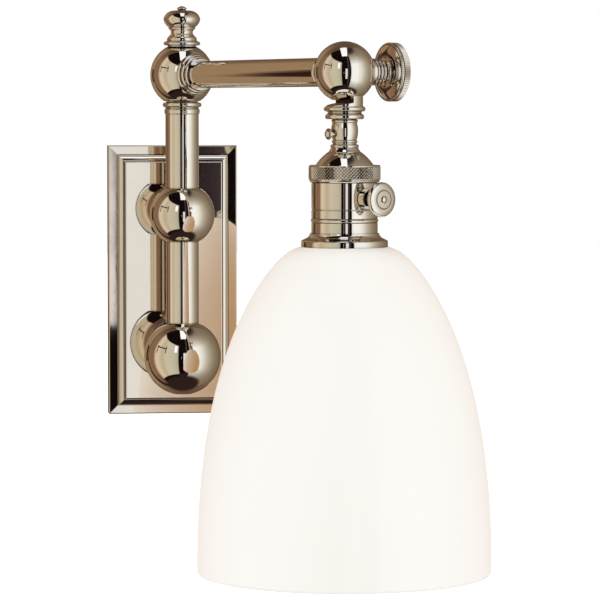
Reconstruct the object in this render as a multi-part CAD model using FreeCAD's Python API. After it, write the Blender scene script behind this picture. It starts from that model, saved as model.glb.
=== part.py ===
"""Swing arm wall sconce with an opal glass shade, as an assembly of separate solids.

Frame: origin at the centre of the mounting strap's back face on the wall, +X to the right along the
wall, +Y into the wall, +Z up. Lengths are millimetres. The arm is modelled turned a little to the
right of straight out, with the shade hanging straight down.
"""
import FreeCAD, Part
import math
import os

Vector = FreeCAD.Vector
UP = Vector(0, 0, 1)
OUT = Vector(0, -1, 0)

# ---- driving dimensions ----------------------------------------------------------------------------
PLATE_WIDTH = 81.0
PLATE_HEIGHT = 169.0
PLATE_DEPTH = 20.0
PLATE_SIDE_DEPTH = 12.0
PLATE_WALL = 2.0
PLATE_BORDER = 11.0
COVER_SCREW_RADIUS = 2.0
COVER_SCREW_OUT = 6.0
STRAP_WIDTH = 22.0
STRAP_THICKNESS = 2.0
BOX_SCREW_SPACING = 79.4
BOX_SCREW_SLOT_LENGTH = 14.4
BOX_SCREW_SLOT_WIDTH = 4.8
STRAP_TAB_DEPTH = 10.0
WIRE_HOLE_RADIUS = 6.5
GROUND_SCREW_RADIUS = 2.0
GROUND_SCREW_PLACE = Vector(6.5, 0, 17.0)
POST_HEIGHT = 43.2
POST_RADIUS = 8.0
POST_CUP_RADIUS = 9.0
NIPPLE_RADIUS = 5.0
NIPPLE_START = 8.0
NIPPLE_END = 70.0
NIPPLE_BORE = 3.6
LOCKNUT_FACE = 16.6
LOCKNUT_HEIGHT = 4.0
PILLAR_OUT = 82.0
PILLAR_RADIUS = 10.1
PILLAR_BOTTOM = -32.0
PILLAR_TOP = 104.2
TUBE_WALL = 1.5
UPPER_BALL_RADIUS = 19.7
UPPER_BALL_FLAT = 16.0
LOWER_BALL_RADIUS = 23.4
PIVOT_FLOOR = 112.0
PIVOT_ROOF = 144.9
PIVOT_WASHER_THICKNESS = 0.7
FRICTION_WASHER_TOP = 145.9
ARM_HEIGHT = 128.0
ARM_LENGTH = 200.0
ARM_RADIUS = 8.1
ARM_REST_ANGLE = 21.9
ARM_START = 11.0
ARM_END_GAP = 18.5
PIVOT_BALL_RADIUS = 19.2
KNUCKLE_RADIUS = 16.9
KNUCKLE_FACE = 15.0
SPLIT_GAP = 0.05
SPLIT_SLOPE = 10.0
STUD_RADIUS = 5.0
STUD_BORE = 3.4
TILT_BOLT_RADIUS = 3.0
THUMB_RADIUS = 16.4
THUMB_TEETH = 96
THUMB_TOOTH_DEPTH = 0.35
RUNNING_CLEARANCE = 0.06
BODY_GAP = 0.3
STEM_SPIGOT_RADIUS = 5.0
SOCKET_CAP_TOP = 101.8
CAP_SKIRT_RADIUS = 18.2
SET_SCREW_RADIUS = 1.5
SET_SCREW_HEIGHT = 93.6
SET_SCREW_ANGLE = -68.3
KNURL_RADIUS = 20.1
SOCKET_RADIUS = 18.4
SHELL_TOP = 67.0
SHELL_FLOOR = 38.6
SHELL_WALL = 0.8
SOCKET_THREAD_RADIUS = 17.6
SOCKET_BODY_RADIUS = 16.6
TERMINAL_OUT = 11.0
TERMINAL_RADIUS = 1.8
SCREW_SHELL_RADIUS = 14.2
SCREW_SHELL_TOP = 46.0
LAMP_THREAD_PITCH = 3.63
SWITCH_ANGLE = 32.0
SWITCH_HEIGHT = 57.9
SWITCH_FACE_DISTANCE = 33.4
SWITCH_THREAD_RADIUS = 5.2
SPINDLE_RADIUS = 1.8
HOLDER_RADIUS = 24.1
SHADE_RADIUS = 82.2
SHADE_CROWN = 191.7
SHADE_FULLNESS = 2.22
SHADE_BOTTOM = -149.5
SHADE_SHOULDER = 24.5
SHADE_TOP = 31.0
SHADE_WALL = 4.0
SHADE_HOLE_RADIUS = 18.6
SHADE_SEAT_RADIUS = 24.6
BULB_RADIUS = 30.0
BULB_NECK = 19.0

# ---- places worked out from them -------------------------------------------------------------------
def heading(angle):
    """A level direction at so many degrees to the right of straight out from the wall."""
    return Vector(math.sin(math.radians(angle)), -math.cos(math.radians(angle)), 0)


PILLAR_FOOT = Vector(0, -PILLAR_OUT, 0)
PIVOT = PILLAR_FOOT + UP * ARM_HEIGHT
ARM_DIRECTION = heading(ARM_REST_ANGLE)
KNUCKLE = PIVOT + ARM_DIRECTION * ARM_LENGTH
TILT_AXIS = UP.cross(ARM_DIRECTION)
LAMP_FOOT = Vector(KNUCKLE.x, KNUCKLE.y, 0)
SWITCH_DIRECTION = heading(SWITCH_ANGLE)
SWITCH_CENTRE = LAMP_FOOT + UP * SWITCH_HEIGHT
SET_SCREW_DIRECTION = heading(SET_SCREW_ANGLE)
THUMB_FOOT = KNUCKLE_RADIUS + BODY_GAP


# ---- drawing helpers -------------------------------------------------------------------------------
def arc(through, end):
    """A step of an outline that is an arc through one point to another."""
    return ("arc", through, end)


def bead(inner, outer, start, end):
    """A half-round bead of a turned outline, from height start to height end."""
    return arc((outer, (start + end) / 2), (inner, end))


def dome(start, top):
    """A spherical cap that closes an outline on its axis, from a (radius, along) point to a top."""
    radius, foot = start
    way = math.copysign(1, top - foot)
    sphere = (radius ** 2 + (top - foot) ** 2) / (2 * abs(top - foot))
    centre = top - way * sphere
    half_angle = math.atan2(radius, way * (foot - centre)) / 2
    return arc((sphere * math.sin(half_angle), centre + way * sphere * math.cos(half_angle)), (0, top))


def outline_face(steps, place):
    """The closed face of an outline of (across, along) points and arcs, put in space by place."""
    edges = []
    first = here = place(*steps[0])
    for step in steps[1:] + [steps[0]]:
        if step[0] == "arc":
            target = place(*step[2])
            edges.append(Part.Arc(here, place(*step[1]), target).toShape())
        else:
            target = place(*step)
            if target.distanceToPoint(here) > 1e-6:
                edges.append(Part.LineSegment(here, target).toShape())
        here = target
    if here.distanceToPoint(first) > 1e-6:
        edges.append(Part.LineSegment(here, first).toShape())
    face = Part.Face(Part.Wire(edges))
    assert face.isValid()
    return face


def side_of(direction):
    """A direction at right angles to another, level when it can be."""
    if abs(direction.z) > 0.9:
        return Vector(1, 0, 0)
    return UP.cross(direction).normalize()


def turned(steps, foot, direction=UP):
    """A solid turned about the line through foot along direction, from (radius, along) steps."""
    across = side_of(direction)
    face = outline_face(steps, lambda radius, along: foot + direction * along + across * radius)
    return solid(face.revolve(foot, direction, 360))


def rod(radius, foot, direction, start, end):
    return Part.makeCylinder(radius, end - start, foot + direction * start, direction)


def ring(outer, inner, foot, direction, start, end):
    return rod(outer, foot, direction, start, end).cut(rod(inner, foot, direction, start - 1, end + 1))


def ball(radius, centre):
    return Part.makeSphere(radius, centre)


def slab(x_range, y_range, z_range):
    size = [high - low for low, high in (x_range, y_range, z_range)]
    return Part.makeBox(*size, Vector(x_range[0], y_range[0], z_range[0]))


def hexagon(across_flats, inner, foot, direction, start, end):
    """A hexagon nut blank with a round hole."""
    radius = across_flats / math.sqrt(3)
    across = side_of(direction)
    other = direction.cross(across)
    corners = []
    for step in range(7):
        angle = math.radians(60 * step)
        corner = across * radius * math.cos(angle) + other * radius * math.sin(angle)
        corners.append(foot + direction * start + corner)
    nut = Part.Face(Part.makePolygon(corners)).extrude(direction * (end - start))
    return nut.cut(rod(inner, foot, direction, start - 1, end + 1))


def half_space(point, direction, reach=80.0):
    """A big block on the side of a plane that direction points to."""
    block = Part.makeBox(2 * reach, 2 * reach, reach, Vector(-reach, -reach, 0))
    block.Placement = FreeCAD.Placement(point, FreeCAD.Rotation(UP, direction))
    return block


def solid(shape):
    """The shape as one clean solid, or as a group of separate solids."""
    shape = shape.removeSplitter() if shape.ShapeType != "Solid" else shape
    solids = shape.Solids
    assert solids and all(piece.isValid() for piece in solids)
    for piece in solids:
        if piece.Volume < 0:
            piece.reverse()
    return solids[0] if len(solids) == 1 else Part.makeCompound(solids)


# ---- backplate and what holds it to the wall ---------------------------------------------------------
def plate_block(inset, back, front):
    """A block of the plate's outline moved inward by inset, from back to front."""
    x = PLATE_WIDTH / 2 - inset
    z = PLATE_HEIGHT / 2 - inset
    return slab((-x, x), (-front, -back), (-z, z))


def mitred_side(moulding, half_length, half_across, direction, across):
    """One side of a moulded frame: its section run along the side and cut at 45 degrees at both ends."""
    corner = direction * -half_length - across * half_across
    section = outline_face(
        moulding,
        lambda inset, forward: corner - direction + across * inset + OUT * forward,
    )
    bar = section.extrude(direction * 2 * (half_length + 1))
    depth = moulding[-1][0]
    outline = [(-1, -1), (-1, 1), (depth, 1), (depth, -1), (-1, -1)]
    corners = []
    for inset, end in outline:
        along = direction * end * (half_length - inset)
        corners.append(along - across * (half_across - inset) - OUT)
    wedge = Part.Face(Part.makePolygon(corners)).extrude(OUT * (PLATE_DEPTH + 2))
    return bar.common(wedge)


def backplate():
    """Hollow cast cover: plain side wall, mitred moulding and a raised flat panel."""
    half_width = PLATE_WIDTH / 2
    half_height = PLATE_HEIGHT / 2
    step = PLATE_SIDE_DEPTH
    moulding = [
        (0.0, 0.0),
        (0.0, step - 0.6),
        arc((0.18, step - 0.18), (0.6, step)),
        (5.4, step + 0.42),
        (5.4, step - 0.2),
        (6.1, step - 0.2),
        (6.1, step + 0.5),
        arc((6.9, step + 3.1), (9.3, step + 4.2)),
        (9.3, step + 3.4),
        (10.1, step + 3.4),
        (10.1, PLATE_DEPTH - 0.6),
        arc((10.28, PLATE_DEPTH - 0.18), (10.7, PLATE_DEPTH)),
        (PLATE_BORDER + 2, PLATE_DEPTH),
        (PLATE_BORDER + 2, 0.0),
    ]
    right = Vector(1, 0, 0)
    cover = mitred_side(moulding, half_height, half_width, UP, right)
    cover = cover.fuse(mitred_side(moulding, half_height, half_width, UP, -right))
    cover = cover.fuse(mitred_side(moulding, half_width, half_height, right, UP))
    cover = cover.fuse(mitred_side(moulding, half_width, half_height, right, -UP))
    cover = cover.fuse(plate_block(PLATE_BORDER + 2, 0, PLATE_DEPTH))
    cover = cover.removeSplitter()
    cover = cover.cut(plate_block(PLATE_WALL, -1, PLATE_SIDE_DEPTH - 1.5))
    cover = cover.cut(plate_block(PLATE_BORDER + 1.5, -1, PLATE_DEPTH - PLATE_WALL))
    for side in (-1, 1):
        cover = cover.cut(rod(NIPPLE_RADIUS + 0.1, UP * POST_HEIGHT * side, OUT, 0, PLATE_DEPTH + 1))
        screw_line = OUT * COVER_SCREW_OUT
        hole = rod(COVER_SCREW_RADIUS + 0.1, screw_line, UP * side, half_height - 5, half_height + 1)
        cover = cover.cut(hole)
    return solid(cover)


def mounting_strap():
    """Steel crossbar: two slots for the wall box, a wire hole and two bent tabs for the cover screws."""
    half_width = STRAP_WIDTH / 2
    tab_outer = PLATE_HEIGHT / 2 - PLATE_WALL - 0.5
    strap = slab((-half_width, half_width), (-STRAP_THICKNESS, 0), (-tab_outer, tab_outer))
    for side in (-1, 1):
        low, high = sorted((side * tab_outer, side * (tab_outer - STRAP_THICKNESS)))
        strap = strap.fuse(slab((-half_width, half_width), (-STRAP_TAB_DEPTH, 0), (low, high)))
    travel = (BOX_SCREW_SLOT_LENGTH - BOX_SCREW_SLOT_WIDTH) / 2
    slot_radius = BOX_SCREW_SLOT_WIDTH / 2
    for side in (-1, 1):
        middle = side * BOX_SCREW_SPACING / 2
        strap = strap.cut(slab((-slot_radius, slot_radius), (-5, 1), (middle - travel, middle + travel)))
        for end in (-1, 1):
            strap = strap.cut(rod(slot_radius, UP * (middle + end * travel), OUT, -1, 5))
        screw_line = OUT * COVER_SCREW_OUT
        strap = strap.cut(rod(COVER_SCREW_RADIUS, screw_line, UP * side, tab_outer - 4, tab_outer + 1))
    strap = strap.cut(rod(WIRE_HOLE_RADIUS, Vector(0, 0, 0), OUT, -1, 5))
    strap = strap.cut(rod(GROUND_SCREW_RADIUS, GROUND_SCREW_PLACE, OUT, -1, 5))
    return solid(strap)


def ground_screw():
    """Pan head screw in the strap for the earth wire."""
    head = turned([(0, 2.0), (4.0, 2.0), (4.0, 3.2), dome((4.0, 3.2), 4.6)], GROUND_SCREW_PLACE, OUT)
    shank = rod(GROUND_SCREW_RADIUS, GROUND_SCREW_PLACE, OUT, 0, 2.5)
    slot = slab((-5, 5), (-6, -3.7), (-0.5, 0.5))
    slot.translate(GROUND_SCREW_PLACE)
    return solid(head.fuse(shank).cut(slot))


def cover_screws():
    """Headless screws through the top and bottom walls of the cover into the strap's tabs."""
    screws = []
    for side in (-1, 1):
        end = PLATE_HEIGHT / 2 - 0.3
        screw = rod(COVER_SCREW_RADIUS, OUT * COVER_SCREW_OUT, UP * side, end - 7.2, end)
        slot = slab((-5, 5), (-COVER_SCREW_OUT - 0.4, -COVER_SCREW_OUT + 0.4), (-1, 1))
        slot.translate(UP * side * PLATE_HEIGHT / 2)
        screws.append(solid(screw.cut(slot)))
    return Part.makeCompound(screws)


# ---- posts, balls and pillar ---------------------------------------------------------------------------
def post(side, ball_radius):
    """Turned sleeve between the panel and a ball, bored for the threaded nipple."""
    face = PLATE_DEPTH
    reach = PILLAR_OUT - math.sqrt(ball_radius ** 2 - POST_CUP_RADIUS ** 2)
    bore = NIPPLE_RADIUS + 0.1
    steps = [
        (bore, face),
        (13.0, face),
        (13.0, face + 1.6),
        arc((12.3, face + 2.6), (11.0, face + 3.0)),
        arc((8.8, face + 4.2), (POST_RADIUS, face + 7.0)),
        (POST_RADIUS, reach - 6.0),
        arc((9.6, reach - 4.8), (8.2, reach - 3.6)),
        (POST_CUP_RADIUS, reach - 3.2),
        (POST_CUP_RADIUS, reach + 2.5),
        (bore, reach + 2.5),
    ]
    sleeve = turned(steps, UP * POST_HEIGHT * side, OUT)
    return solid(sleeve.cut(ball(ball_radius, PILLAR_FOOT + UP * POST_HEIGHT * side)))


def post_nipples():
    """Hollow threaded pipes that pull each ball and post against the panel."""
    pipes = []
    for side in (-1, 1):
        foot = UP * POST_HEIGHT * side
        pipes.append(ring(NIPPLE_RADIUS, NIPPLE_BORE, foot, OUT, NIPPLE_START, NIPPLE_END))
    return Part.makeCompound(pipes)


def post_washers():
    """Washers between the locknuts and the inside of the panel."""
    washers = []
    for side in (-1, 1):
        foot = UP * POST_HEIGHT * side
        washers.append(ring(9.5, NIPPLE_RADIUS, foot, OUT, LOCKNUT_FACE, PLATE_DEPTH - PLATE_WALL))
    return Part.makeCompound(washers)


def post_locknuts():
    """Hexagon nuts on the nipples behind the panel."""
    nuts = []
    start = LOCKNUT_FACE - LOCKNUT_HEIGHT
    for side in (-1, 1):
        nuts.append(hexagon(16.0, NIPPLE_RADIUS, UP * POST_HEIGHT * side, OUT, start, LOCKNUT_FACE))
    return Part.makeCompound(nuts)


def upper_ball():
    """Ball with flat ends that the pillar passes through."""
    centre = PILLAR_FOOT + UP * POST_HEIGHT
    shape = ball(UPPER_BALL_RADIUS, centre)
    shape = shape.common(rod(UPPER_BALL_RADIUS + 1, centre, UP, -UPPER_BALL_FLAT, UPPER_BALL_FLAT))
    shape = shape.cut(rod(PILLAR_RADIUS + 0.02, centre, UP, -30, 30))
    return solid(shape.cut(rod(NIPPLE_RADIUS, UP * POST_HEIGHT, OUT, 50, PILLAR_OUT)))


def lower_ball():
    """Ball that closes the foot of the pillar, with a chamber where the wires turn upward."""
    centre = PILLAR_FOOT - UP * POST_HEIGHT
    shape = ball(LOWER_BALL_RADIUS, centre)
    top = math.sqrt(LOWER_BALL_RADIUS ** 2 - (PILLAR_RADIUS + 1.2) ** 2)
    shape = shape.common(rod(LOWER_BALL_RADIUS + 1, centre, UP, 0.6 - LOWER_BALL_RADIUS, top))
    shape = shape.cut(rod(PILLAR_RADIUS + 0.02, PILLAR_FOOT, UP, PILLAR_BOTTOM, 0))
    shape = shape.cut(rod(PILLAR_RADIUS - TUBE_WALL, PILLAR_FOOT, UP, -POST_HEIGHT - 8, PILLAR_BOTTOM + 1))
    return solid(shape.cut(rod(NIPPLE_RADIUS, -UP * POST_HEIGHT, OUT, 50, PILLAR_OUT)))


def pillar_tube():
    """Upright tube through the upper ball into the lower one."""
    return solid(ring(PILLAR_RADIUS, PILLAR_RADIUS - TUBE_WALL, PILLAR_FOOT, UP, PILLAR_BOTTOM, PILLAR_TOP))


def pillar_collar():
    """Turned cap of the pillar: two beads above the tube and a spigot inside it."""
    top = PIVOT_FLOOR - PIVOT_WASHER_THICKNESS
    steps = [
        (STUD_RADIUS, 90.0),
        (PILLAR_RADIUS - TUBE_WALL, 90.0),
        (PILLAR_RADIUS - TUBE_WALL, PILLAR_TOP),
        (10.2, PILLAR_TOP),
        arc((10.6, 104.9), (10.6, 105.6)),
        arc((10.6, 107.0), (10.0, 107.7)),
        (10.0, 108.2),
        (10.6, 108.5),
        arc((11.8, 109.9), (10.7, top)),
        (STUD_RADIUS, top),
    ]
    return turned(steps, PILLAR_FOOT)


def pivot_washer():
    """Fibre washer that the swinging ball rides on."""
    start = PIVOT_FLOOR - PIVOT_WASHER_THICKNESS
    return solid(ring(9.6, STUD_RADIUS, PILLAR_FOOT, UP, start, PIVOT_FLOOR))


def pivot_stud():
    """Hollow threaded stud up through the ball, open at the front where the wires turn into the arm."""
    stud = ring(STUD_RADIUS, STUD_BORE, PILLAR_FOOT, UP, 92.0, 158.0)
    window = slab((-9, 9), (-PILLAR_OUT - 9, -PILLAR_OUT + 0.5), (ARM_HEIGHT - 6, ARM_HEIGHT + 6))
    return solid(stud.cut(window))


def friction_washer():
    """Spring washer between the swinging ball and the finial."""
    return solid(ring(8.6, STUD_RADIUS, PILLAR_FOOT, UP, PIVOT_ROOF + 0.1, FRICTION_WASHER_TOP))


def finial():
    """Turned cap nut: foot ring, shoulder, neck, bead, bulb and button."""
    steps = [
        (STUD_RADIUS, FRICTION_WASHER_TOP),
        (10.0, FRICTION_WASHER_TOP),
        arc((11.1, 146.9), (10.3, 148.1)),
        (9.0, 148.7),
        arc((8.9, 150.2), (7.9, 151.4)),
        (7.0, 152.4),
        arc((6.6, 153.6), (6.9, 154.8)),
        (7.4, 155.5),
        arc((8.1, 156.1), (7.8, 156.8)),
        arc((10.5, 159.7), (11.15, 161.9)),
        arc((9.7, 164.7), (4.4, 166.9)),
        (2.4, 167.2),
        (2.2, 167.6),
        arc((2.9, 168.2), (2.3, 168.8)),
        dome((2.3, 168.8), 169.6),
        (0, 158.5),
        (STUD_RADIUS, 158.5),
    ]
    return turned(steps, PILLAR_FOOT)


# ---- swinging arm ------------------------------------------------------------------------------------
def pivot_ball():
    """Ball that turns on the stud, with flat ends, a wire chamber and a socket for the arm."""
    shape = ball(PIVOT_BALL_RADIUS, PIVOT)
    shape = shape.common(rod(PIVOT_BALL_RADIUS + 1, PILLAR_FOOT, UP, PIVOT_FLOOR + 0.1, PIVOT_ROOF))
    shape = shape.cut(rod(STUD_RADIUS + RUNNING_CLEARANCE, PILLAR_FOOT, UP, 100, 160))
    shape = shape.cut(rod(9.0, PIVOT, UP, -7.0, 7.0))
    shape = shape.cut(rod(ARM_RADIUS, PIVOT, ARM_DIRECTION, ARM_START, 25))
    return solid(shape.cut(rod(ARM_RADIUS - TUBE_WALL, PIVOT, ARM_DIRECTION, 0, 25)))


def arm_root_collar():
    """Three turned rings where the arm leaves the ball."""
    steps = [
        (ARM_RADIUS, 12.0),
        (11.6, 12.0),
        (11.6, 16.4),
        arc((12.4, 18.0), (11.6, 19.6)),
        (10.4, 20.0),
        arc((11.3, 21.4), (10.4, 22.8)),
        (9.4, 23.1),
        arc((10.2, 24.4), (9.4, 25.7)),
        (ARM_RADIUS, 26.2),
    ]
    collar = turned(steps, PIVOT, ARM_DIRECTION)
    return solid(collar.cut(ball(PIVOT_BALL_RADIUS, PIVOT)))


def arm_tube():
    """Straight tube from the pivot ball to the knuckle."""
    end = ARM_LENGTH - ARM_END_GAP
    return solid(ring(ARM_RADIUS, ARM_RADIUS - TUBE_WALL, PIVOT, ARM_DIRECTION, ARM_START, end))


def swept_side():
    """What the turning half of the knuckle needs on its own side of the split."""
    zone = ball(KNUCKLE_RADIUS + BODY_GAP, KNUCKLE)
    return zone.common(half_space(KNUCKLE, TILT_AXIS))


def arm_end_collar():
    """Two turned rings where the arm meets the knuckle."""
    steps = [
        (ARM_RADIUS, ARM_LENGTH - 22.6),
        (8.9, ARM_LENGTH - 22.4),
        arc((9.4, ARM_LENGTH - 21.2), (8.9, ARM_LENGTH - 20.0)),
        (8.6, ARM_LENGTH - 19.6),
        (9.1, ARM_LENGTH - 19.2),
        arc((9.9, ARM_LENGTH - 17.4), (9.1, ARM_LENGTH - 15.6)),
        (9.1, ARM_LENGTH - 13.0),
        (ARM_RADIUS - TUBE_WALL, ARM_LENGTH - 13.0),
        (ARM_RADIUS - TUBE_WALL, ARM_LENGTH - ARM_END_GAP),
        (ARM_RADIUS, ARM_LENGTH - ARM_END_GAP),
    ]
    collar = turned(steps, PIVOT, ARM_DIRECTION)
    return solid(collar.cut(ball(KNUCKLE_RADIUS, KNUCKLE)).cut(swept_side()))


def split_cut(depth):
    """Block below a plane that falls away from the split at the given depth under the centre."""
    lean = math.radians(SPLIT_SLOPE)
    down = -UP * math.cos(lean) + TILT_AXIS * math.sin(lean)
    return half_space(KNUCKLE - UP * depth, down)


def knuckle_bore():
    """The hole for the thumbscrew's shank right through the swivel ball."""
    return rod(TILT_BOLT_RADIUS + RUNNING_CLEARANCE, KNUCKLE, TILT_AXIS, -30, 30)


def knuckle_arm_half():
    """Fixed half of the swivel ball, with a spigot into the arm and a trimmed underside."""
    half = ball(KNUCKLE_RADIUS, KNUCKLE).cut(half_space(KNUCKLE, TILT_AXIS))
    half = half.cut(split_cut(14.6))
    spigot = rod(ARM_RADIUS - TUBE_WALL, KNUCKLE, -ARM_DIRECTION, 9.0, 34.0)
    half = half.fuse(spigot.cut(swept_side()))
    wire_way = rod(4.0, KNUCKLE, -ARM_DIRECTION, 8.0, 40.0)
    half = half.cut(wire_way.cut(ball(15.0, KNUCKLE)))
    bore = rod(TILT_BOLT_RADIUS + RUNNING_CLEARANCE, KNUCKLE, TILT_AXIS, -13.0, 30)
    return solid(half.cut(bore))


# ---- tilting head: knuckle and socket -------------------------------------------------------------------
def knuckle_shade_half():
    """Turning half of the swivel ball, one with the ringed stem that carries the socket."""
    split = KNUCKLE + TILT_AXIS * SPLIT_GAP
    half = ball(KNUCKLE_RADIUS, KNUCKLE).common(half_space(split, TILT_AXIS))
    half = half.cut(half_space(KNUCKLE + TILT_AXIS * KNUCKLE_FACE, TILT_AXIS))
    stem = turned(
        [
            (0, 120.0),
            (10.2, 120.0),
            (10.2, 109.1),
            (10.5, 108.8),
            arc((11.6, 107.4), (10.3, 106.1)),
            arc((9.4, 105.3), (10.0, 104.6)),
            arc((10.8, 103.3), (10.2, SOCKET_CAP_TOP)),
            (0, SOCKET_CAP_TOP),
        ],
        LAMP_FOOT,
    )
    stem = stem.cut(half_space(split, -TILT_AXIS).cut(split_cut(KNUCKLE_RADIUS + BODY_GAP)))
    stem = stem.cut(ball(KNUCKLE_RADIUS + BODY_GAP, KNUCKLE).cut(half_space(split, TILT_AXIS)))
    shape = half.fuse(stem)
    shape = shape.fuse(rod(STEM_SPIGOT_RADIUS, LAMP_FOOT, UP, 89.0, SOCKET_CAP_TOP + 0.5))
    shape = shape.cut(rod(3.0, LAMP_FOOT, UP, 80.0, 108.0))
    return solid(shape.cut(knuckle_bore()))


def tilt_washer():
    """Washer between the flat of the swivel ball and the thumbscrew."""
    bore = TILT_BOLT_RADIUS + RUNNING_CLEARANCE
    return solid(ring(7.3, bore, KNUCKLE, TILT_AXIS, KNUCKLE_FACE, THUMB_FOOT - 0.2))


def socket_cap():
    """Domed cap of the lamp socket with a collar neck for the stem."""
    bore = STEM_SPIGOT_RADIUS + 0.02
    steps = [
        (bore, SOCKET_CAP_TOP),
        (6.7, SOCKET_CAP_TOP),
        arc((7.3, 100.8), (6.8, 99.8)),
        arc((7.5, 94.6), (6.6, 90.2)),
        arc((7.2, 89.4), (6.6, 88.6)),
        (6.6, 87.8),
        arc((7.9, 86.9), (7.5, 86.0)),
        (8.1, 84.9),
        (8.9, 83.7),
        (9.6, 83.3),
        arc((13.2, 80.1), (16.4, 76.0)),
        (CAP_SKIRT_RADIUS, 75.6),
        (CAP_SKIRT_RADIUS, 69.0),
        (CAP_SKIRT_RADIUS - 1.0, 69.0),
        (CAP_SKIRT_RADIUS - 1.0, 74.6),
        (15.4, 75.2),
        arc((12.6, 78.8), (9.2, 81.8)),
        (bore, 83.2),
    ]
    hole = rod(SET_SCREW_RADIUS, LAMP_FOOT + UP * SET_SCREW_HEIGHT, SET_SCREW_DIRECTION, 4, 12)
    return solid(turned(steps, LAMP_FOOT).cut(hole))


def cap_set_screw():
    """Small thumb screw that locks the cap to the stem."""
    steps = [
        (0, 5.0),
        (SET_SCREW_RADIUS, 5.0),
        (SET_SCREW_RADIUS, 8.2),
        (1.9, 8.4),
        (1.9, 9.2),
        (2.9, 9.4),
        arc((3.2, 10.1), (2.9, 10.8)),
        (2.2, 10.9),
        (2.3, 11.2),
        dome((2.3, 11.2), 12.3),
    ]
    return turned(steps, LAMP_FOOT + UP * SET_SCREW_HEIGHT, SET_SCREW_DIRECTION)


def knurled_ring():
    """Threaded ring that joins the cap to the shell. Its band carries the knurl."""
    steps = [
        (CAP_SKIRT_RADIUS, SHELL_TOP + 0.6),
        (19.2, SHELL_TOP),
        arc((19.5, 67.4), (19.3, 67.9)),
        (19.6, 68.2),
        (KNURL_RADIUS, 68.5),
        (KNURL_RADIUS, 76.0),
        (KNURL_RADIUS - 0.4, 76.4),
        (CAP_SKIRT_RADIUS + 0.1, 76.4),
        (CAP_SKIRT_RADIUS, 75.6),
    ]
    return turned(steps, LAMP_FOOT)


def socket_shell():
    """Metal body of the socket, with a cut groove, a bead and a threaded lower end."""
    inner = SOCKET_THREAD_RADIUS - 1.0
    steps = [
        (SOCKET_RADIUS - SHELL_WALL, SHELL_TOP),
        (SOCKET_RADIUS - 0.3, SHELL_TOP),
        (SOCKET_RADIUS, SHELL_TOP - 0.4),
        (SOCKET_RADIUS, 52.1),
        arc((SOCKET_RADIUS - 0.35, 51.7), (SOCKET_RADIUS, 51.3)),
        (SOCKET_RADIUS, 47.0),
        (SOCKET_RADIUS - 0.3, 46.8),
        arc((SOCKET_RADIUS + 0.35, 45.7), (SOCKET_RADIUS - 0.3, 44.6)),
        (SOCKET_RADIUS, 44.4),
        (SOCKET_RADIUS, SHELL_FLOOR),
        (SOCKET_THREAD_RADIUS, SHELL_FLOOR),
    ]
    turns = 7
    pitch = 2.6
    start = SHELL_FLOOR - 0.6
    steps.append((SOCKET_THREAD_RADIUS, start))
    for turn in range(turns):
        crest = start - turn * pitch
        root = (SOCKET_THREAD_RADIUS - 0.5, crest - pitch / 2)
        steps.append(arc(root, (SOCKET_THREAD_RADIUS, crest - pitch)))
    foot = start - turns * pitch
    steps += [(inner, foot), (inner, SHELL_FLOOR + 1.0), (SOCKET_RADIUS - SHELL_WALL, SHELL_FLOOR + 1.6)]
    shell = turned(steps, LAMP_FOOT)
    hole = rod(SWITCH_THREAD_RADIUS + 0.05, SWITCH_CENTRE, SWITCH_DIRECTION, 10, 30)
    return solid(shell.cut(hole))


def shell_liner():
    """Insulating sleeve inside the shell."""
    sleeve = ring(SOCKET_RADIUS - SHELL_WALL - 0.1, 17.0, LAMP_FOOT, UP, 40.4, 67.5)
    return solid(sleeve.cut(rod(SWITCH_THREAD_RADIUS + 0.1, SWITCH_CENTRE, SWITCH_DIRECTION, 10, 30)))


def socket_body():
    """Insulating body that holds the screw shell, the contact and the switch."""
    steps = [
        (0, 66.0),
        (SOCKET_BODY_RADIUS, 66.0),
        (SOCKET_BODY_RADIUS, 40.2),
        (SCREW_SHELL_RADIUS, 40.2),
        (SCREW_SHELL_RADIUS, SCREW_SHELL_TOP),
        (0, SCREW_SHELL_TOP),
    ]
    body = turned(steps, LAMP_FOOT)
    body = body.cut(rod(SPINDLE_RADIUS + 1.0, SWITCH_CENTRE, SWITCH_DIRECTION, -1, 20))
    body = body.cut(rod(2.5, LAMP_FOOT, UP, 45, 50))
    for side in (-1, 1):
        foot = LAMP_FOOT + TILT_AXIS * TERMINAL_OUT * side
        body = body.cut(rod(TERMINAL_RADIUS, foot, UP, 60, 70))
    return solid(body)


def terminal_screws():
    """Two screws on top of the socket body for the wires."""
    steps = [
        (0, 61.0),
        (TERMINAL_RADIUS, 61.0),
        (TERMINAL_RADIUS, 66.0),
        (3.4, 66.0),
        (3.4, 67.4),
        (0, 68.0),
    ]
    screws = []
    for side in (-1, 1):
        screws.append(turned(steps, LAMP_FOOT + TILT_AXIS * TERMINAL_OUT * side))
    return Part.makeCompound(screws)


def screw_shell():
    """Threaded metal shell that takes the bulb's cap."""
    turns = 6
    top = SCREW_SHELL_TOP
    foot = top - turns * LAMP_THREAD_PITCH
    steps = [(SCREW_SHELL_RADIUS, top), (SCREW_SHELL_RADIUS, foot), (13.6, foot)]
    for turn in range(turns - 1):
        low = foot + turn * LAMP_THREAD_PITCH
        steps.append(arc((13.3, low + LAMP_THREAD_PITCH / 2), (13.6, low + LAMP_THREAD_PITCH)))
    steps.append(arc((13.3, top - LAMP_THREAD_PITCH / 2), (13.6, top - 0.6)))
    steps += [(4.5, top - 0.6), (4.5, top)]
    return turned(steps, LAMP_FOOT)


def centre_contact():
    """Sprung tongue that meets the bulb's tip."""
    return turned([(0, 50.0), (2.5, 50.0), (2.5, 45.0), (3.0, 44.6), dome((3.0, 44.6), 43.2)], LAMP_FOOT)


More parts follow.
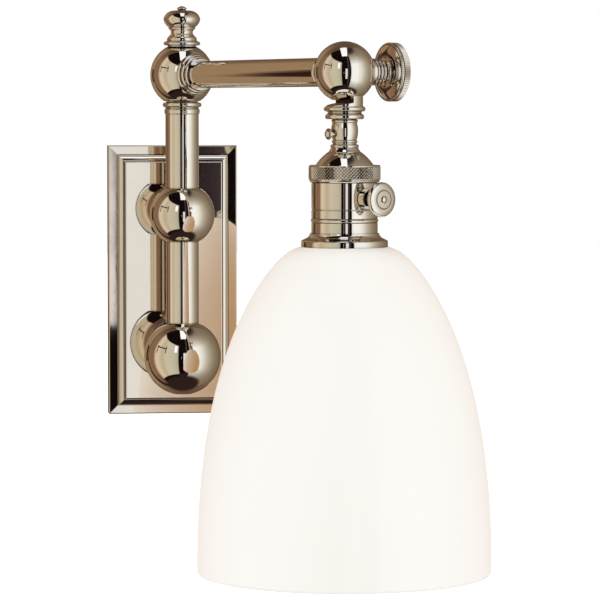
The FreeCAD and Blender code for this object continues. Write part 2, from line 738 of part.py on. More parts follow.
# ---- rotary switch -----------------------------------------------------------------------------------
def switch_bushing():
    """Threaded bushing through the shell, with a smooth shoulder against it."""
    bore = SPINDLE_RADIUS + RUNNING_CLEARANCE
    crest = SWITCH_THREAD_RADIUS + 0.4
    steps = [(bore, 17.4), (SWITCH_THREAD_RADIUS, 17.4), (SWITCH_THREAD_RADIUS, SOCKET_RADIUS + 0.1)]
    steps += [(crest, SOCKET_RADIUS + 0.1), (crest, 22.4), (SWITCH_THREAD_RADIUS - 0.4, 22.8)]
    turns = 6
    pitch = 0.8
    start = 22.9
    for turn in range(turns):
        root = start + (turn + 1) * pitch
        steps += [(crest, root - pitch / 2), (SWITCH_THREAD_RADIUS, root)]
    end = start + turns * pitch + 0.3
    steps += [(SWITCH_THREAD_RADIUS - 0.4, end), (bore, end)]
    return turned(steps, SWITCH_CENTRE, SWITCH_DIRECTION)


def switch_spindle():
    """Shaft from the switch in the socket body out to the knob."""
    return solid(rod(SPINDLE_RADIUS, SWITCH_CENTRE, SWITCH_DIRECTION, 4.0, SWITCH_FACE_DISTANCE - 2.5))


def switch_knob():
    """Round turn knob with a rolled edge, a ring groove and a small boss."""
    face = SWITCH_FACE_DISTANCE
    steps = [
        (SPINDLE_RADIUS, face - 5.0),
        (4.4, face - 5.0),
        (4.6, face - 4.0),
        (7.6, face - 3.5),
        arc((9.55, face - 1.7), (8.3, face - 0.2)),
        arc((7.2, face + 0.15), (5.5, face + 0.3)),
        arc((5.1, face - 0.25), (4.7, face + 0.35)),
        (2.2, face + 0.45),
        dome((2.2, face + 0.45), face + 1.5),
        (0, face - 2.5),
        (SPINDLE_RADIUS, face - 2.5),
    ]
    return turned(steps, SWITCH_CENTRE, SWITCH_DIRECTION)


# ---- tilt thumbscrew -----------------------------------------------------------------------------------
def thumb_rim(start, end):
    """Serrated band round the edge of the thumbscrew."""
    across = side_of(TILT_AXIS)
    other = TILT_AXIS.cross(across)
    corners = []
    for step in range(2 * THUMB_TEETH + 1):
        radius = THUMB_RADIUS - THUMB_TOOTH_DEPTH * (step % 2)
        angle = math.pi * step / THUMB_TEETH
        corner = across * radius * math.cos(angle) + other * radius * math.sin(angle)
        corners.append(KNUCKLE + TILT_AXIS * start + corner)
    return Part.Face(Part.makePolygon(corners)).extrude(TILT_AXIS * (end - start))


def tilt_knob():
    """Thumbscrew head: beaded neck, dished disc, smooth bead and serrated rim."""
    foot = THUMB_FOOT
    pitch = 2.25
    steps = [(0, foot), (6.6, foot)]
    for count, outer in enumerate((7.5, 7.3, 7.0)):
        start = foot + count * pitch
        steps.append(bead(6.4, outer, start, start + pitch - 0.4))
        steps += [(5.9, start + pitch - 0.2), (6.4, start + pitch)]
    steps += [
        (5.6, foot + 6.9),
        (5.6, foot + 7.2),
        arc((6.6, foot + 8.1), (9.4, foot + 8.5)),
        (10.4, foot + 8.5),
        (10.4, foot + 9.1),
        arc((13.0, foot + 9.4), (15.0, foot + 10.2)),
        (15.0, foot + 10.6),
        arc((16.5, foot + 11.3), (15.3, foot + 12.0)),
        (15.3, foot + 15.6),
        arc((14.8, foot + 16.1), (13.4, foot + 16.2)),
        arc((9.0, foot + 15.4), (5.6, foot + 16.0)),
        dome((5.6, foot + 16.0), foot + 17.8),
    ]
    head = turned(steps, KNUCKLE, TILT_AXIS)
    return solid(head.fuse(thumb_rim(foot + 12.3, foot + 15.7)))


def tilt_bolt():
    """Threaded shank of the thumbscrew, through the turning half into the fixed half."""
    return solid(rod(TILT_BOLT_RADIUS, KNUCKLE, TILT_AXIS, -12.0, THUMB_FOOT))


# ---- shade, its holder and the bulb ----------------------------------------------------------------------
def shade_holder():
    """Spun cup under the shell that spreads onto the top of the glass."""
    inner = SOCKET_THREAD_RADIUS + 0.1
    steps = [
        (inner, SHELL_FLOOR),
        (19.2, SHELL_FLOOR),
        arc((19.9, 36.9), (21.6, 35.7)),
        (23.2, 34.9),
        arc((23.95, 34.4), (HOLDER_RADIUS, 33.7)),
        (HOLDER_RADIUS, SHADE_TOP),
        (HOLDER_RADIUS - 1.0, SHADE_TOP),
        (HOLDER_RADIUS - 1.0, 33.6),
        arc((20.2, 35.2), (18.4, 37.6)),
        (inner, 37.6),
    ]
    return turned(steps, LAMP_FOOT)


def shade_radius(height):
    """Radius of the glass at a height above its rim: a superellipse, fuller than a plain ellipse."""
    return SHADE_RADIUS * math.sqrt(1 - (height / SHADE_CROWN) ** SHADE_FULLNESS)


def shade_curve(inset):
    """The side of the bell from rim to shoulder, moved inward by inset, as points of one spline."""
    height = SHADE_SHOULDER - SHADE_BOTTOM
    points = []
    samples = 14
    for step in range(samples + 1):
        level = height * math.sin(math.pi / 2 * step / samples)
        slope = (shade_radius(min(level + 0.01, height)) - shade_radius(max(level - 0.01, 0.0))) / 0.02
        length = math.hypot(1, slope)
        radius = shade_radius(level) - inset / length
        points.append(LAMP_FOOT + Vector(radius, 0, SHADE_BOTTOM + level + inset * slope / length))
    return points


def glass_shade():
    """Blown bell of opal glass: open bottom, rounded lip and shoulder, flat seat round a hole."""
    outer = Part.BSplineCurve()
    outer.interpolate(shade_curve(0.0))
    inner = Part.BSplineCurve()
    inner.interpolate(list(reversed(shade_curve(SHADE_WALL))))
    rim_outer = outer.value(outer.FirstParameter)
    rim_inner = inner.value(inner.LastParameter)
    lip = (rim_outer + rim_inner) / 2 - UP * SHADE_WALL / 2
    shoulder = outer.value(outer.LastParameter)
    shoulder_mid = LAMP_FOOT + Vector(31.2, 0, SHADE_TOP - 2.8)
    under_shoulder = inner.value(inner.FirstParameter)
    under_mid = LAMP_FOOT + Vector(29.0, 0, SHADE_TOP - 6.0)
    seat = [
        LAMP_FOOT + Vector(SHADE_SEAT_RADIUS, 0, SHADE_TOP),
        LAMP_FOOT + Vector(SHADE_HOLE_RADIUS, 0, SHADE_TOP),
        LAMP_FOOT + Vector(SHADE_HOLE_RADIUS, 0, SHADE_TOP - SHADE_WALL),
        LAMP_FOOT + Vector(SHADE_SEAT_RADIUS - 0.6, 0, SHADE_TOP - SHADE_WALL),
    ]
    edges = [outer.toShape(), Part.Arc(shoulder, shoulder_mid, seat[0]).toShape()]
    for start, end in zip(seat, seat[1:]):
        edges.append(Part.LineSegment(start, end).toShape())
    edges.append(Part.Arc(seat[-1], under_mid, under_shoulder).toShape())
    edges.append(inner.toShape())
    edges.append(Part.Arc(rim_inner, lip, rim_outer).toShape())
    face = Part.Face(Part.Wire(edges))
    assert face.isValid()
    return solid(face.revolve(LAMP_FOOT, UP, 360))


def shade_ring():
    """Threaded ring inside the glass that clamps it up against the holder."""
    inner = SOCKET_THREAD_RADIUS + 0.1
    top = SHADE_TOP - SHADE_WALL
    flange = SHADE_SEAT_RADIUS - 1.0
    steps = [
        (inner, top),
        (flange, top),
        (flange, top - 1.4),
        (21.0, top - 2.0),
        (21.0, top - 7.0),
        (inner, top - 7.0),
    ]
    return turned(steps, LAMP_FOOT)


def bulb_base():
    """Screw cap of the bulb with its thread and tip."""
    turns = 6
    steps = [(0, BULB_NECK), (13.0, BULB_NECK)]
    for turn in range(turns):
        low = BULB_NECK + turn * LAMP_THREAD_PITCH
        steps.append(arc((12.4, low + LAMP_THREAD_PITCH / 2), (13.0, low + LAMP_THREAD_PITCH)))
    end = BULB_NECK + turns * LAMP_THREAD_PITCH
    steps += [(9.0, end + 0.8), (4.0, end + 1.4), dome((4.0, end + 1.4), end + 2.4)]
    return turned(steps, LAMP_FOOT)


def bulb_glass():
    """Pear-shaped envelope of the bulb."""
    middle = BULB_NECK - 52.0
    shoulder = BULB_NECK - 14.0
    steps = [
        (0, BULB_NECK),
        (12.6, BULB_NECK),
        (13.4, BULB_NECK - 3.0),
        arc((15.4, BULB_NECK - 9.0), (19.4, shoulder - 2.0)),
        arc((27.2, middle + 18.0), (BULB_RADIUS, middle)),
        dome((BULB_RADIUS, middle), middle - BULB_RADIUS),
    ]
    return turned(steps, LAMP_FOOT)


# ---- the whole assembly ------------------------------------------------------------------------------------
def build():
    """Every node of the assembly by name."""
    return {
        "backplate": backplate(),
        "mounting_strap": mounting_strap(),
        "ground_screw": ground_screw(),
        "cover_screws": cover_screws(),
        "upper_post": post(1, UPPER_BALL_RADIUS),
        "lower_post": post(-1, LOWER_BALL_RADIUS),
        "post_nipples": post_nipples(),
        "post_washers": post_washers(),
        "post_locknuts": post_locknuts(),
        "upper_ball": upper_ball(),
        "lower_ball": lower_ball(),
        "pillar_tube": pillar_tube(),
        "pillar_collar": pillar_collar(),
        "pivot_washer": pivot_washer(),
        "pivot_stud": pivot_stud(),
        "friction_washer": friction_washer(),
        "finial": finial(),
        "pivot_ball": pivot_ball(),
        "arm_root_collar": arm_root_collar(),
        "arm_tube": arm_tube(),
        "arm_end_collar": arm_end_collar(),
        "knuckle_arm_half": knuckle_arm_half(),
        "knuckle_shade_half": knuckle_shade_half(),
        "tilt_washer": tilt_washer(),
        "tilt_knob": tilt_knob(),
        "tilt_bolt": tilt_bolt(),
        "socket_cap": socket_cap(),
        "cap_set_screw": cap_set_screw(),
        "knurled_ring": knurled_ring(),
        "socket_shell": socket_shell(),
        "shell_liner": shell_liner(),
        "socket_body": socket_body(),
        "terminal_screws": terminal_screws(),
        "screw_shell": screw_shell(),
        "centre_contact": centre_contact(),
        "switch_bushing": switch_bushing(),
        "switch_spindle": switch_spindle(),
        "switch_knob": switch_knob(),
        "shade_holder": shade_holder(),
        "glass_shade": glass_shade(),
        "shade_ring": shade_ring(),
        "bulb_base": bulb_base(),
        "bulb_glass": bulb_glass(),
    }


def main():
    """Write one file per node and print its volume."""
    os.makedirs("parts", exist_ok=True)
    for name, shape in build().items():
        shape.exportStep(f"parts/{name}.step")
        print(f"{name}: {shape.Volume / 1000:.2f} cm3, {len(shape.Solids)} solid(s)")


if __name__ == "__main__":
    main()
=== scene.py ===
"""Looks of the swing arm wall sconce: polished nickel and an opal glass bell, lit to suit one view."""
import bpy
import math
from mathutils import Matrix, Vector


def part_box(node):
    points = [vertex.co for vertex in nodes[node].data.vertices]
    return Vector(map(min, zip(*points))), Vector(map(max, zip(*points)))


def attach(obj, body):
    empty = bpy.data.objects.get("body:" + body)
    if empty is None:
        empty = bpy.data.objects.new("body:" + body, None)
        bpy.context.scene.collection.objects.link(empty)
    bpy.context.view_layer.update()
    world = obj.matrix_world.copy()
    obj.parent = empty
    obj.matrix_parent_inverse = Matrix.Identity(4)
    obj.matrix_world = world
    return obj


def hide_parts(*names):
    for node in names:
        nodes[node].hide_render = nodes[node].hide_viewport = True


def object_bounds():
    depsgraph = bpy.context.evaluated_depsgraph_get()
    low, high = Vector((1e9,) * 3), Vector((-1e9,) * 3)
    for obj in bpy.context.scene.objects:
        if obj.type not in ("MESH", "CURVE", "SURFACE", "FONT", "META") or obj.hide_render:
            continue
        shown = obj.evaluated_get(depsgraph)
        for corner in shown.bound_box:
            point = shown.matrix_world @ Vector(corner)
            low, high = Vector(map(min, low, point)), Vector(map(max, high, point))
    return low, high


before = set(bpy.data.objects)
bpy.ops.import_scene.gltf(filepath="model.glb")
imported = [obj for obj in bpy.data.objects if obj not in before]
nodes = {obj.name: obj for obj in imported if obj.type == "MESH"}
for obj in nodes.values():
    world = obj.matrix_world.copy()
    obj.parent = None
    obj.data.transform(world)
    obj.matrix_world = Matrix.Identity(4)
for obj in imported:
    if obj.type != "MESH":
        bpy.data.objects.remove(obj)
cad_low, cad_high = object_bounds()

# ---- camera: a long lens, a little to the left of the plate and level with the pivot ---------------------
CAMERA_PLACE = Vector((-0.170, -2.083, 0.108))
CAMERA_HEADING = math.radians(6.9)
CAMERA_DIP = math.radians(3.33)
CAMERA_LENS = 198.0


def make_camera():
    data = bpy.data.cameras.new("camera")
    data.lens = CAMERA_LENS
    data.sensor_width = 36.0
    data.clip_start = 0.05
    data.clip_end = 60.0
    camera = bpy.data.objects.new("camera", data)
    bpy.context.scene.collection.objects.link(camera)
    camera.location = CAMERA_PLACE
    ahead = Vector((math.sin(CAMERA_HEADING), math.cos(CAMERA_HEADING), 0)) * math.cos(CAMERA_DIP)
    ahead.z = -math.sin(CAMERA_DIP)
    camera.rotation_mode = "QUATERNION"
    camera.rotation_quaternion = ahead.to_track_quat("-Z", "Y")
    bpy.context.scene.camera = camera


make_camera()
bpy.context.scene.view_settings.view_transform = "Standard"


# ---- making meshes and materials ---------------------------------------------------------------------------
def new_object(name, points, faces, smooth=True):
    mesh = bpy.data.meshes.new(name)
    mesh.from_pydata(points, [], faces)
    mesh.update()
    if smooth:
        mesh.polygons.foreach_set("use_smooth", [True] * len(mesh.polygons))
    thing = bpy.data.objects.new(name, mesh)
    bpy.context.scene.collection.objects.link(thing)
    return thing


class Nodes:
    """A short way to write a material's node tree."""

    def __init__(self, name):
        self.material = bpy.data.materials.new(name)
        self.material.use_nodes = True
        self.tree = self.material.node_tree
        self.tree.nodes.clear()
        self.output = self.tree.nodes.new("ShaderNodeOutputMaterial")

    def add(self, kind, settings=None, **inputs):
        """A node with its properties set, and each input given a value or a link."""
        node = self.tree.nodes.new("ShaderNode" + kind)
        for key, value in (settings or {}).items():
            setattr(node, key, value)
        for key, value in inputs.items():
            by_number = key[0] == "i" and key[1:].isdigit()
            self.put(node.inputs[int(key[1:])] if by_number else node.inputs[key.replace("_", " ")], value)
        return node

    def put(self, socket, value):
        if isinstance(value, bpy.types.NodeSocket):
            self.tree.links.new(value, socket)
        else:
            socket.default_value = value

    def noise(self, scale, detail=3.0, stretch=None):
        """Noise in object space, drawn out along the axes when stretch is given."""
        place = self.add("TexCoord").outputs["Object"]
        if stretch:
            place = self.add("Mapping", Vector=place, Scale=stretch).outputs[0]
        return self.add("TexNoise", Vector=place, Scale=scale, Detail=detail).outputs[0]

    def spread(self, value, low, high):
        """Noise mapped to run from low to high."""
        node = self.add("MapRange", i0=value, i1=0.3, i2=0.7, i3=low, i4=high)
        return node.outputs[0]

    def two_tone(self, value, dark, light):
        node = self.add("ValToRGB", i0=value)
        node.color_ramp.elements[0].position = 0.3
        node.color_ramp.elements[1].position = 0.7
        node.color_ramp.elements[0].color = (*dark, 1)
        node.color_ramp.elements[1].color = (*light, 1)
        return node.outputs[0]

    def bump(self, height, distance, strength=1.0):
        return self.add("Bump", Height=height, Distance=distance, Strength=strength).outputs[0]

    def with_painted_groove_shade(self, colour, dark):
        """The colour, darkened by painted shade in narrow grooves where the ambient occlusion finds little
        open sky.
        """
        open_sky = self.add("AmbientOcclusion", {"samples": 6}, Distance=0.0022).outputs["AO"]
        share = self.add("MapRange", i0=open_sky, i1=0.38, i2=0.80, i3=0.0, i4=1.0).outputs[0]
        return self.between((*dark, 1), colour, share)

    def between(self, first, second, share):
        """A mix of two colours."""
        return self.add("Mix", {"data_type": "RGBA"}, i0=share, i6=first, i7=second).outputs[2]

    def finish(self, shader):
        self.put(self.output.inputs[0], shader.outputs[0])
        return self.material


# ---- studio ------------------------------------------------------------------------------------------------
STUDIO_CENTRE = Vector((0.03, -0.17, 0.06))
ROOM_RADIUS = 5.0
STRIP_DISTANCE = 2.5
OVERHEAD_DISTANCE = 1.2
NICKEL_COLOUR = (0.86, 0.81, 0.74)
AWAY = Vector((-math.sin(CAMERA_HEADING), -math.cos(CAMERA_HEADING), 0))
RIGHT = Vector((math.cos(CAMERA_HEADING), -math.sin(CAMERA_HEADING), 0))


def towards(azimuth, elevation):
    """A direction from the object. Azimuth 0 points at the camera and grows to the camera's right."""
    a, e = math.radians(azimuth), math.radians(elevation)
    level = AWAY * math.cos(a) + RIGHT * math.sin(a)
    return level * math.cos(e) + Vector((0, 0, 1)) * math.sin(e)


def linear(colour):
    """Screen values of 0 to 255 as linear light."""
    scaled = [part / 255 for part in colour]
    return [part / 12.92 if part <= 0.04045 else ((part + 0.055) / 1.055) ** 2.4 for part in scaled]


def blend(first, second, share):
    share = min(max(share, 0.0), 1.0)
    return [a + (b - a) * share for a, b in zip(first, second)]


def along(stops, place):
    """The colour at a place on a list of (place, colour) stops."""
    for (start, first), (end, second) in zip(stops, stops[1:]):
        if place <= end:
            return blend(first, second, (place - start) / (end - start))
    return stops[-1][1]


# Colours are what the metal shows on screen. Azimuths and elevations are in degrees. Most began as values
# read off the reference photo, placed by the direction that the metal mirrors there, and were then tuned.
# So the light is fitted to that one view. It isn't plain studio light, and other sides mirror guesswork.
BLACK = (16, 9, 7)
STAND = (40, 27, 22)
DOOR_LINE = (46, 26, 22)
DARK_BAR = (52, 30, 18)
FLOOR_SHADE = (44, 31, 26)
NEAR_FLOOR = (40, 28, 24)
STRIP_WHITE = (226, 219, 208)
STRIP_EDGE = (110, 98, 90)
THIN_STRIP_WHITE = (222, 213, 204)
BOX_WHITE = (253, 251, 246)
WINDOW_WHITE = (255, 255, 255)
ROUND_THE_ROOM = [
    (-180, (92, 69, 52)),
    (-160, (120, 93, 68)),
    (-148, (148, 119, 86)),
    (-122, (151, 122, 89)),
    (-112, (128, 99, 75)),
    (-97, (128, 99, 74)),
    (-89, (206, 182, 153)),
    (-81, (216, 194, 164)),
    (-75, (206, 187, 158)),
    (-64, (187, 170, 141)),
    (-49, (200, 187, 160)),
    (-34, (196, 185, 157)),
    (-22, (190, 179, 154)),
    (-12, (176, 165, 143)),
    (-10.3, BLACK),
    (11.8, BLACK),
    (12.6, (72, 58, 58)),
    (16.5, (64, 51, 52)),
    (17.6, BLACK),
    (24.0, BLACK),
    (25.5, (234, 231, 222)),
    (34, (246, 243, 236)),
    (54, (243, 239, 229)),
    (68, (224, 217, 200)),
    (82, (190, 179, 159)),
    (100, (158, 145, 123)),
    (118, (136, 120, 97)),
    (145, (118, 99, 76)),
    (165, (104, 82, 62)),
    (180, (92, 69, 52)),
]


def on_stand(azimuth, elevation):
    """Whether a direction falls on the light stand in front of the left box."""
    post = abs(azimuth + 84) < 1.3 and 7 < elevation < 25
    arm = abs(elevation - 22) < 1.1 and -88 < azimuth < -52
    holder = abs(azimuth + 53) < 1.2 and 9 < elevation < 29
    return post or arm or holder


def room_colour(azimuth, elevation):
    """What the polished metal reflects from a direction, as screen values."""
    colour = along(ROUND_THE_ROOM, azimuth)
    left_top = 51 - (azimuth + 87) * 0.226
    if -100 < azimuth < -10:
        colour = blend(colour, BLACK, (elevation - left_top) / 1.5)
        colour = blend(colour, BLACK, (-50 - elevation) / 2)
    elif 24 < azimuth < 140:
        colour = blend(colour, (124, 108, 90), (abs(elevation + 2) - 28) / 40)
        colour = blend(colour, (52, 40, 34), (elevation - 62) / 10)
    elif abs(azimuth) > 99:
        colour = blend(colour, (92, 70, 54), (abs(elevation) - 32) / 30)
    door_edge = 1.1 + max(0.0, -elevation - 3) * 0.13
    door_middle = -121.35 + min(0.0, elevation) * 0.13
    colour = blend(DOOR_LINE, colour, abs(azimuth - door_middle) - door_edge)
    colour = blend(DARK_BAR, colour, max(abs(azimuth + 132.5) - 5.5, (abs(elevation) - 8) / 2))
    if on_stand(azimuth, elevation):
        colour = STAND
    if -10.3 <= azimuth <= 24:
        colour = blend(colour, NEAR_FLOOR, (-46 - elevation) / 6)
    if elevation < -52:
        colour = blend(colour, FLOOR_SHADE, (-54 - elevation) / 8)
    return colour


def glow(name):
    """Light whose colour is stored on the mesh."""
    n = Nodes(name)
    colour = n.add("Attribute", {"attribute_name": "light"})
    return n.finish(n.add("Emission", Color=colour.outputs[0], Strength=1.0))


def card(name, points, faces, seen):
    """A lit card with a screen value at each point, which only mirror reflections see."""
    thing = new_object(name, points, faces)
    colours = []
    for colour in seen:
        colours += [part / metal for part, metal in zip(linear(colour), NICKEL_COLOUR)] + [1.0]
    thing.data.attributes.new("light", "FLOAT_COLOR", "POINT").data.foreach_set("color", colours)
    thing.data.materials.append(glow(name))
    thing.visible_camera = False
    thing.visible_diffuse = False
    thing.visible_shadow = False
    thing.visible_transmission = False
    thing.visible_volume_scatter = False


def panel(name, azimuths, elevations, distance, colour_at, fine):
    """A curved card round the object."""
    columns = round((azimuths[1] - azimuths[0]) / fine)
    rows = round((elevations[1] - elevations[0]) / fine)
    points, seen = [], []
    for row in range(rows + 1):
        elevation = elevations[0] + (elevations[1] - elevations[0]) * row / rows
        for column in range(columns + 1):
            azimuth = azimuths[0] + (azimuths[1] - azimuths[0]) * column / columns
            points.append(STUDIO_CENTRE + towards(azimuth, elevation) * distance)
            seen.append(colour_at(azimuth, elevation))
    faces = []
    for row in range(rows):
        for column in range(columns):
            corner = row * (columns + 1) + column
            faces.append((corner, corner + 1, corner + columns + 2, corner + columns + 1))
    card(name, points, faces, seen)


def overhead_box(azimuth, elevation, distance, half_width, half_depth):
    """A flat softbox above the object."""
    centre = STUDIO_CENTRE + towards(azimuth, elevation) * distance
    level = towards(azimuth + 90, 0)
    rise = towards(azimuth, elevation).cross(level)
    signs = ((-1, -1), (1, -1), (1, 1), (-1, 1))
    corners = [centre + level * half_width * x + rise * half_depth * y for x, y in signs]
    card("overhead_box", corners, [(0, 1, 2, 3)], [BOX_WHITE] * 4)


def strip_colour(azimuth, elevation):
    """The narrow front light: white with a soft grey edge on each side."""
    return blend(STRIP_WHITE, STRIP_EDGE, (abs(azimuth - 7.7) - 3.3) / 0.6)


def thin_strip_colour(azimuth, elevation):
    return THIN_STRIP_WHITE


def window_colour(azimuth, elevation):
    return WINDOW_WHITE


def make_studio():
    panel("room", (-180, 180), (-90, 90), ROOM_RADIUS, room_colour, 1.0)
    panel("strip_light", (3.8, 11.6), (-24, 12), STRIP_DISTANCE, strip_colour, 0.3)
    panel("thin_strip", (-1.9, -1.3), (-6, 0.5), STRIP_DISTANCE, thin_strip_colour, 0.3)
    panel("small_window", (-25, -16), (13, 33), STRIP_DISTANCE, window_colour, 1.0)
    overhead_box(4, 78, OVERHEAD_DISTANCE, 0.17, 0.44)


def make_floor():
    half = 14.0
    level = cad_low.z - 0.45
    corners = [(-half, -half, level), (half, -half, level), (half, half, level), (-half, half, level)]
    floor = new_object("floor", corners, [(0, 1, 2, 3)])
    n = Nodes("floor")
    pale = n.two_tone(n.noise(3.0), (0.93, 0.93, 0.93), (0.95, 0.95, 0.95))
    matt = n.add("BsdfDiffuse", Color=pale)
    lift = n.add("Emission", Color=pale, Strength=0.55)
    floor.data.materials.append(n.finish(n.add("AddShader", i0=matt.outputs[0], i1=lift.outputs[0])))
    floor.visible_glossy = False
    floor.visible_diffuse = False


WORLD_PEAK = 2.0
WORLD_STOPS = [
    (0.00, (0.55, 0.31, 0.11)),
    (0.36, (0.58, 0.33, 0.12)),
    (0.42, (1.54, 1.66, 1.82)),
    (0.63, (1.50, 1.60, 1.74)),
    (0.71, (1.10, 1.10, 1.09)),
    (1.00, (1.11, 1.10, 1.08)),
]


def make_world():
    """White to the camera. To everything else a soft dome round the upright axis: white in front and at
    the sides, tan from the wall."""
    world = bpy.data.worlds.new("studio")
    world.use_nodes = True
    tree = world.node_tree
    tree.nodes.clear()
    output = tree.nodes.new("ShaderNodeOutputWorld")
    place = tree.nodes.new("ShaderNodeTexCoord")
    flat = tree.nodes.new("ShaderNodeVectorMath")
    flat.operation = "MULTIPLY"
    flat.inputs[1].default_value = (1, 1, 0)
    heading = tree.nodes.new("ShaderNodeVectorMath")
    heading.operation = "NORMALIZE"
    facing = tree.nodes.new("ShaderNodeVectorMath")
    facing.operation = "DOT_PRODUCT"
    facing.inputs[1].default_value = AWAY
    share = tree.nodes.new("ShaderNodeMapRange")
    share.inputs[1].default_value = -1.0
    share.inputs[2].default_value = 1.0
    ramp = tree.nodes.new("ShaderNodeValToRGB")
    while len(ramp.color_ramp.elements) < len(WORLD_STOPS):
        ramp.color_ramp.elements.new(0.5)
    for element, (spot, colour) in zip(ramp.color_ramp.elements, WORLD_STOPS):
        element.position = spot
        element.color = (*[part / WORLD_PEAK for part in colour], 1)
    dome = tree.nodes.new("ShaderNodeBackground")
    dome.inputs[1].default_value = WORLD_PEAK
    white = tree.nodes.new("ShaderNodeBackground")
    white.inputs[0].default_value = (1, 1, 1, 1)
    path = tree.nodes.new("ShaderNodeLightPath")
    mix = tree.nodes.new("ShaderNodeMixShader")
    tree.links.new(place.outputs["Generated"], flat.inputs[0])
    tree.links.new(flat.outputs[0], heading.inputs[0])
    tree.links.new(heading.outputs[0], facing.inputs[0])
    tree.links.new(facing.outputs["Value"], share.inputs[0])
    tree.links.new(share.outputs[0], ramp.inputs[0])
    tree.links.new(ramp.outputs[0], dome.inputs[0])
    tree.links.new(path.outputs["Is Camera Ray"], mix.inputs[0])
    tree.links.new(dome.outputs[0], mix.inputs[1])
    tree.links.new(white.outputs[0], mix.inputs[2])
    tree.links.new(mix.outputs[0], output.inputs[0])
    bpy.context.scene.world = world


make_studio()
make_floor()
make_world()


# ---- materials ---------------------------------------------------------------------------------------------
def polished(name, colour, rough=0.025, ripple=0.0000012, shaded_cut_attribute=None):
    """Plated metal: a mirror with a faint haze, hairline wipe marks and the slightest ripple, with painted
    shade in narrow grooves and, given a depth attribute, in knurl cuts.
    """
    n = Nodes(name)
    haze = n.spread(n.noise(38.0, 5.0), rough * 0.6, rough * 1.7)
    shade = n.two_tone(n.noise(55.0), [part * 0.965 for part in colour], colour)
    # Painted shade: ambient occlusion darkens the metal's colour in narrow grooves.
    shade = n.with_painted_groove_shade(shade, (0.16, 0.125, 0.10))
    # Painted shade: where the named depth attribute is low, in the knurl's cuts, the colour is darkened to
    # near black-brown.
    if shaded_cut_attribute:
        depth = n.add("Attribute", {"attribute_name": shaded_cut_attribute}).outputs["Fac"]
        outside_painted_cut_shade = n.add("MapRange", i0=depth, i1=0.05, i2=0.38).outputs[0]
        shade = n.between((0.10, 0.085, 0.07, 1), shade, outside_painted_cut_shade)
    wiped = n.bump(n.noise(900.0, 2.0, (1, 1, 0.2)), 0.0000002)
    wave = n.add("Bump", Height=n.noise(120.0, 1.0), Distance=ripple, Strength=1.0, Normal=wiped).outputs[0]
    return n.finish(n.add("BsdfPrincipled", Metallic=1.0, Base_Color=shade, Roughness=haze, Normal=wave))


def turned_metal(name, colour, rough, grain=0.000010):
    """Plain machined metal with tool marks and dull patches."""
    n = Nodes(name)
    shade = n.two_tone(n.noise(160.0, 4.0), [part * 0.72 for part in colour], colour)
    marks = n.bump(n.noise(700.0, 3.0, (1, 1, 6)), grain)
    haze = n.spread(n.noise(90.0, 4.0), rough * 0.8, rough * 1.4)
    return n.finish(n.add("BsdfPrincipled", Metallic=1.0, Base_Color=shade, Roughness=haze, Normal=marks))


def moulded(name, dark, light, rough, grain=0.00004, scale=420.0):
    """Moulded or pressed stuff that isn't metal."""
    n = Nodes(name)
    shade = n.two_tone(n.noise(scale, 4.0), dark, light)
    skin = n.bump(n.noise(scale * 2, 3.0), grain)
    return n.finish(n.add("BsdfPrincipled", Base_Color=shade, Roughness=rough, Normal=skin, IOR=1.5))


def opal_glass():
    """Cased opal glass: milky body under a clear glossy skin with soft blowing waves."""
    n = Nodes("opal_glass")
    body = n.two_tone(n.noise(9.0, 3.0), (0.930, 0.908, 0.862), (0.948, 0.926, 0.880))
    waves = n.bump(n.noise(26.0, 1.0, (1, 1, 0.35)), 0.00006)
    milk = n.add("BsdfPrincipled", Base_Color=body, Roughness=0.5, Normal=waves)
    milk.inputs["Specular IOR Level"].default_value = 0.0
    milk.inputs["Subsurface Weight"].default_value = 0.15
    milk.inputs["Subsurface Radius"].default_value = (0.010, 0.009, 0.007)
    milk.inputs["Subsurface Scale"].default_value = 1.0
    haze = n.spread(n.noise(30.0), 0.07, 0.12)
    skin = n.add("BsdfGlossy", Color=(1, 1, 1, 1), Roughness=haze, Normal=waves)
    return n.finish(n.add("MixShader", i0=0.018, i1=milk.outputs[0], i2=skin.outputs[0]))


def bulb_glass():
    n = Nodes("bulb_envelope")
    frost = n.two_tone(n.noise(300.0, 3.0), (0.84, 0.83, 0.80), (0.92, 0.91, 0.88))
    skin = n.bump(n.noise(1200.0, 2.0), 0.00001)
    return n.finish(n.add("BsdfPrincipled", Base_Color=frost, Roughness=0.32, IOR=1.5, Normal=skin))


nickel = polished("nickel_plated_brass", NICKEL_COLOUR)
knurled_nickel = polished("knurled_nickel", NICKEL_COLOUR, 0.08, shaded_cut_attribute="knurl")
FINISHES = {
    "nickel_plated_brass": nickel,
    "plain_brass": turned_metal("plain_brass", (0.80, 0.62, 0.32), 0.22),
    "zinc_plated_steel": turned_metal("zinc_plated_steel", (0.66, 0.67, 0.70), 0.30, 0.00002),
    "green_screw": turned_metal("green_screw", (0.10, 0.42, 0.20), 0.34),
    "aluminium_cap": turned_metal("aluminium_cap", (0.78, 0.78, 0.78), 0.24),
    "fibre": moulded("fibre", (0.16, 0.07, 0.04), (0.26, 0.12, 0.08), 0.75),
    "insulation": moulded("insulation", (0.30, 0.24, 0.17), (0.42, 0.35, 0.26), 0.8, 0.00008),
    "phenolic": moulded("phenolic", (0.018, 0.015, 0.013), (0.035, 0.030, 0.026), 0.35),
    "opal_glass": opal_glass(),
    "bulb_envelope": bulb_glass(),
}


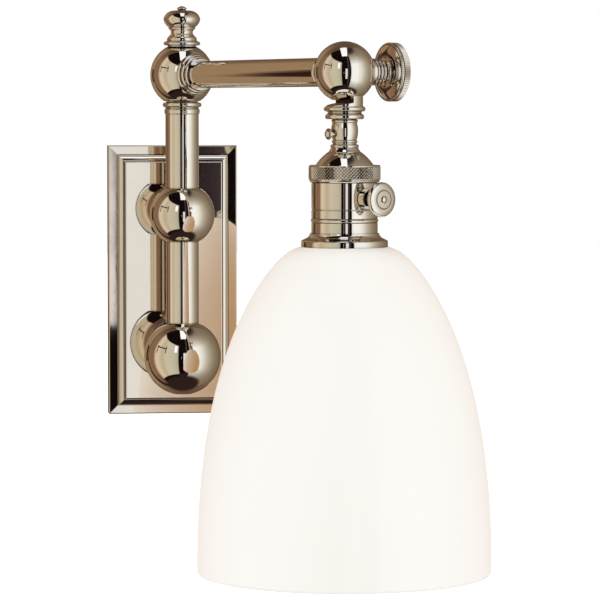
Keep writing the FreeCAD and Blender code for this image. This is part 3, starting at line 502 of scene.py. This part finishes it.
# ---- which finish each CAD node wears ----------------------------------------------------------------------
WEARS = {
    "plain_brass": ["post_nipples", "post_locknuts", "pivot_stud", "tilt_bolt", "terminal_screws",
                    "screw_shell", "centre_contact", "switch_spindle"],
    "zinc_plated_steel": ["mounting_strap", "post_washers", "friction_washer"],
    "green_screw": ["ground_screw"],
    "fibre": ["pivot_washer"],
    "insulation": ["shell_liner"],
    "phenolic": ["socket_body"],
    "opal_glass": ["glass_shade"],
    "aluminium_cap": ["bulb_base"],
    "bulb_envelope": ["bulb_glass"],
}
finish_of = {node: finish for finish, worn in WEARS.items() for node in worn}
for name, node in nodes.items():
    finish = finish_of.get(name, "nickel_plated_brass")
    node.data.materials.clear()
    node.data.materials.append(FINISHES[finish])


# ---- the knurled ring --------------------------------------------------------------------------------------
KNURL_TEETH = 66
STEPS_A_TOOTH = 12
KNURL_ROWS = 48
KNURL_DEPTH = 0.0005
RING_WALL = 0.0019


def diamond(across, up):
    """Height of a diamond knurl, 0 in the cuts and 1 at the points."""
    ridge = abs((across + up) % 1.0 - 0.5) * 2
    other = abs((across - up) % 1.0 - 0.5) * 2
    return min(ridge, other)


def ring_outline(outer, low, high, band_start, band_end):
    """The ring's section as (radius, height, in the knurled band), up the outside and back inside."""
    inner = outer - RING_WALL
    below = [(inner, low + 0.0006), (outer - 0.0009, low), (outer - 0.00062, low + 0.0004),
             (outer - 0.0008, low + 0.0009), (outer - 0.0003, low + 0.0013),
             (outer - 0.00035, band_start - 0.0001)]
    above = [(outer - 0.00035, band_end + 0.0002), (outer - 0.0003, band_end + 0.0006),
             (outer - 0.0006, high), (inner + 0.0001, high), (inner, high - 0.0008)]
    outline = [(radius, height, False) for radius, height in below]
    for row in range(KNURL_ROWS + 1):
        outline.append((outer - KNURL_DEPTH, band_start + (band_end - band_start) * row / KNURL_ROWS, True))
    return outline + [(radius, height, False) for radius, height in above]


def knurled_ring():
    """The socket's joining ring with a real diamond knurl between two smooth lips."""
    low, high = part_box("knurled_ring")
    centre = (low + high) / 2
    outer = (high.x - low.x) / 2
    band_start, band_end = high.z - 0.0076, high.z - 0.0010
    outline = ring_outline(outer, low.z, high.z, band_start, band_end)
    around = KNURL_TEETH * STEPS_A_TOOTH
    pitch = 2 * math.pi * outer / KNURL_TEETH
    points, faces, depths = [], [], []
    for radius, height, in_band in outline:
        for step in range(around):
            angle = 2 * math.pi * step / around
            depth, reach = 1.0, radius
            if in_band:
                depth = diamond(step * KNURL_TEETH / around, (height - band_start) / pitch)
                reach = radius + KNURL_DEPTH * depth
            depths.append(depth)
            points.append((centre.x + reach * math.cos(angle), centre.y + reach * math.sin(angle), height))
    for row in range(len(outline)):
        here, after = row * around, (row + 1) % len(outline) * around
        for step in range(around):
            beside = (step + 1) % around
            faces.append((here + step, here + beside, after + beside, after + step))
    ring = new_object("knurled_ring_detail", points, faces, smooth=False)
    # Each point's knurl depth goes to the material, which paints shade into the cuts where the depth is low.
    ring.data.attributes.new("knurl", "FLOAT", "POINT").data.foreach_set("value", depths)
    ring.data.materials.append(knurled_nickel)
    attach(ring, "lamp_head")
    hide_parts("knurled_ring")


knurled_ring()
